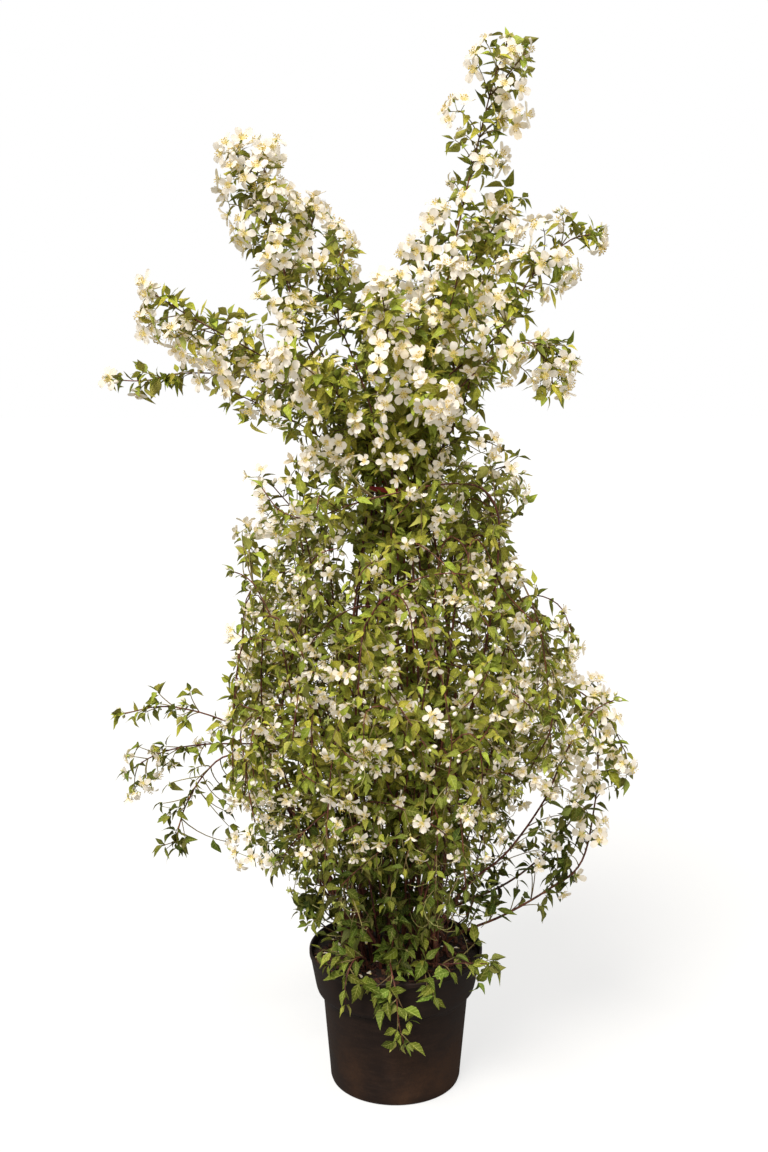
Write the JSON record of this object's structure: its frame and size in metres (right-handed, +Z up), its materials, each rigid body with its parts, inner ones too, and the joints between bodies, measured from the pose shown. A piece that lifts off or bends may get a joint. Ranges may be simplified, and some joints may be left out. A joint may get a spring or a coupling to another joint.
{
  "type": "potted mock orange shrub",
  "caption": "Tall flowering mock orange in a round nursery pot, tied in at the waist, with an upright crown of white bloom and an arching leafy skirt.",
  "frame": {"origin": "middle of the flat underside of the pot, on the ground", "axes": "+Z up the plant; the picture looks along +Y, so its right is +X"},
  "size_m": [1.0653, 0.7925, 2.116],
  "materials": {
    "pot": "semi-matt dark brown moulded plastic, dusty",
    "soil": "rough compost and bark",
    "tie": "flat woven band",
    "crown_cane": "red-brown bark with green leaves",
    "leafy_cane": "red-brown bark with satin green leaves",
    "young_leaf": "fresh green satin leaves",
    "bloom": "matt cream-white petals on a green spray"
  },
  "bodies": {
    "root": {"bloom_head_01": "bloom", "bloom_head_03": "bloom", "bloom_head_04": "bloom", "bloom_head_05": "bloom", "bloom_head_06": "bloom", "bloom_head_07": "bloom", "bloom_head_09": "bloom", "bloom_head_10": "bloom", "bloom_head_11": "bloom", "bloom_head_12": "bloom", "bloom_head_13": "bloom", "bloom_head_14": "bloom", "bloom_head_15": "bloom", "bloom_head_16": "bloom", "cane_crown_01": "crown_cane", "cane_crown_02": "crown_cane", "cane_crown_03": "crown_cane", "cane_crown_04": "crown_cane", "cane_crown_05": "crown_cane", "cane_crown_06": "crown_cane", "cane_crown_07": "crown_cane", "cane_crown_08": "crown_cane", "cane_crown_09": "crown_cane", "cane_crown_10": "crown_cane", "cane_crown_11": "crown_cane", "cane_crown_12": "crown_cane", "cane_crown_13": "crown_cane", "cane_crown_14": "crown_cane", "cane_crown_15": "crown_cane", "cane_crown_16": "crown_cane", "cane_skirt_01": "leafy_cane", "cane_skirt_02": "leafy_cane", "cane_skirt_03": "leafy_cane", "cane_skirt_04": "leafy_cane", "cane_skirt_05": "leafy_cane", "cane_skirt_06": "leafy_cane", "cane_skirt_07": "leafy_cane", "cane_skirt_08": "leafy_cane", "cane_skirt_09": "leafy_cane", "cane_skirt_10": "leafy_cane", "cane_skirt_11": "leafy_cane", "cane_skirt_12": "leafy_cane", "cane_skirt_13": "leafy_cane", "cane_skirt_14": "leafy_cane", "cane_skirt_15": "leafy_cane", "cane_skirt_16": "leafy_cane", "cane_skirt_17": "leafy_cane", "cane_skirt_18": "leafy_cane", "cane_skirt_19": "leafy_cane", "cane_skirt_20": "leafy_cane", "cane_skirt_21": "leafy_cane", "cane_skirt_22": "leafy_cane", "cane_skirt_23": "leafy_cane", "pot": "pot", "shoot_low_01": "young_leaf", "shoot_low_02": "young_leaf", "shoot_low_03": "young_leaf", "shoot_low_04": "young_leaf", "soil": "soil", "tie": "tie"}
  },
  "joints": []
}
